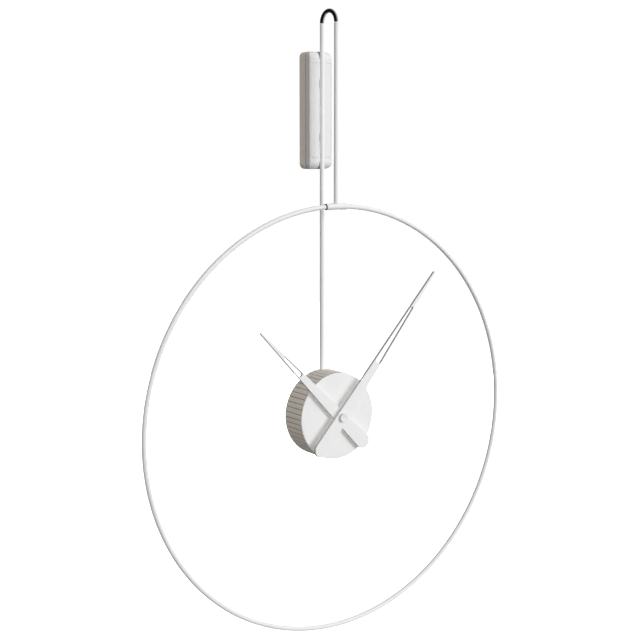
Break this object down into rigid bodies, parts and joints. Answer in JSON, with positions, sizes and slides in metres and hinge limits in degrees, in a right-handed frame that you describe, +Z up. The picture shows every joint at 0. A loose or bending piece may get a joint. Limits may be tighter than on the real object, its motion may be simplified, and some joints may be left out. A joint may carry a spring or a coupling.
{
  "type": "wall clock",
  "caption": "Ring wall clock: a thin open ring and a small drum with slotted hands hang from a hairpin rod on a slim wall bracket.",
  "frame": {"origin": "middle of the wall bracket's back face, on the wall", "axes": "+X to the viewer's right, +Y into the wall, +Z up; the clock faces -Y"},
  "size_m": [0.748, 0.103, 1.0764],
  "materials": {
    "taupe_body": "warm grey-beige matt lacquer, fine grain",
    "white_lacquer": "satin white lacquer",
    "dark_chrome": "polished dark chrome",
    "zinc": "zinc plated",
    "black_plastic": "moulded, matt",
    "steel": "bright steel",
    "black_rubber": "matt rubber",
    "brass": "turned brass",
    "pale_nylon": "natural nylon",
    "copper_winding": "enamelled wire",
    "circuit_laminate": "solder-masked laminate",
    "battery_jacket": "printed sleeve without lettering"
  },
  "bodies": {
    "clock_body": {"back_plate": "taupe_body", "back_plate_screw_1": "zinc", "back_plate_screw_2": "zinc", "back_plate_screw_3": "zinc", "battery_contact": "brass", "battery_spring": "steel", "bend_spigot_front": "steel", "bend_spigot_rear": "steel", "bracket_cover": "white_lacquer", "centre_nut": "brass", "circuit_board": "circuit_laminate", "cover_screw_lower_left": "zinc", "cover_screw_lower_right": "zinc", "cover_screw_upper_left": "zinc", "cover_screw_upper_right": "zinc", "drive_coil": "copper_winding", "drum_rim": "taupe_body", "face_disc": "white_lacquer", "front_panel_left": "white_lacquer", "front_panel_right": "white_lacquer", "front_rod": "white_lacquer", "hairpin_bend": "dark_chrome", "movement_case_back": "black_plastic", "movement_case_front": "black_plastic", "quartz_crystal": "steel", "rear_rod": "white_lacquer", "ring": "white_lacquer", "ring_sleeve": "white_lacquer", "ring_stud": "steel", "rod_clamp_screw_1": "zinc", "rod_clamp_screw_2": "zinc", "rod_saddle_lower": "black_plastic", "rod_saddle_upper": "black_plastic", "rod_screw_lower": "zinc", "rod_screw_upper": "zinc", "rubber_washer": "black_rubber", "sleeve_seal_left": "black_rubber", "sleeve_seal_right": "black_rubber", "sleeve_set_screw_left": "steel", "sleeve_set_screw_right": "steel", "stator_plate": "steel", "wall_base": "taupe_body"},
    "minute_hand": {"centre_wheel": "brass", "minute_hand": "white_lacquer", "hub_cap": "white_lacquer"},
    "hour_hand": {"hour_wheel": "pale_nylon", "hour_hand": "white_lacquer"},
    "setting_knob": {"minute_wheel": "pale_nylon", "setting_knob": "pale_nylon"},
    "third_wheel": {"third_wheel": "pale_nylon"},
    "fourth_wheel": {"fourth_wheel": "pale_nylon"},
    "rotor": {"rotor": "steel"},
    "battery": {"battery": "battery_jacket"}
  },
  "joints": [
    {"name": "minute_turn", "type": "hinge", "parent": "clock_body", "child": "minute_hand", "pos_m": [0, -0.08, -0.524], "axis": [0, 1, 0], "continuous": true},
    {"name": "hour_turn", "type": "hinge", "parent": "clock_body", "child": "hour_hand", "pos_m": [0, -0.08, -0.524], "axis": [0, 1, 0], "continuous": true},
    {"name": "setting_turn", "type": "hinge", "parent": "clock_body", "child": "setting_knob", "pos_m": [0.0096, -0.08, -0.524], "axis": [0, 1, 0], "continuous": true},
    {"name": "third_turn", "type": "hinge", "parent": "clock_body", "child": "third_wheel", "pos_m": [-0.0075, -0.08, -0.5182], "axis": [0, 1, 0], "continuous": true},
    {"name": "fourth_turn", "type": "hinge", "parent": "clock_body", "child": "fourth_wheel", "pos_m": [-0.0035, -0.08, -0.5112], "axis": [0, 1, 0], "continuous": true},
    {"name": "rotor_turn", "type": "hinge", "parent": "clock_body", "child": "rotor", "pos_m": [0.0038, -0.08, -0.5112], "axis": [0, 1, 0], "continuous": true},
    {"name": "battery_out", "type": "slide", "parent": "clock_body", "child": "battery", "axis": [0, 1, 0], "range_m": [0, 0.045]}
  ],
  "couplings": [
    {"joint": "hour_turn", "follows": "minute_turn", "ratio": 0.083333},
    {"joint": "setting_turn", "follows": "minute_turn", "ratio": -0.33333},
    {"joint": "third_turn", "follows": "minute_turn", "ratio": -4},
    {"joint": "fourth_turn", "follows": "minute_turn", "ratio": 12},
    {"joint": "rotor_turn", "follows": "minute_turn", "ratio": -36}
  ]
}
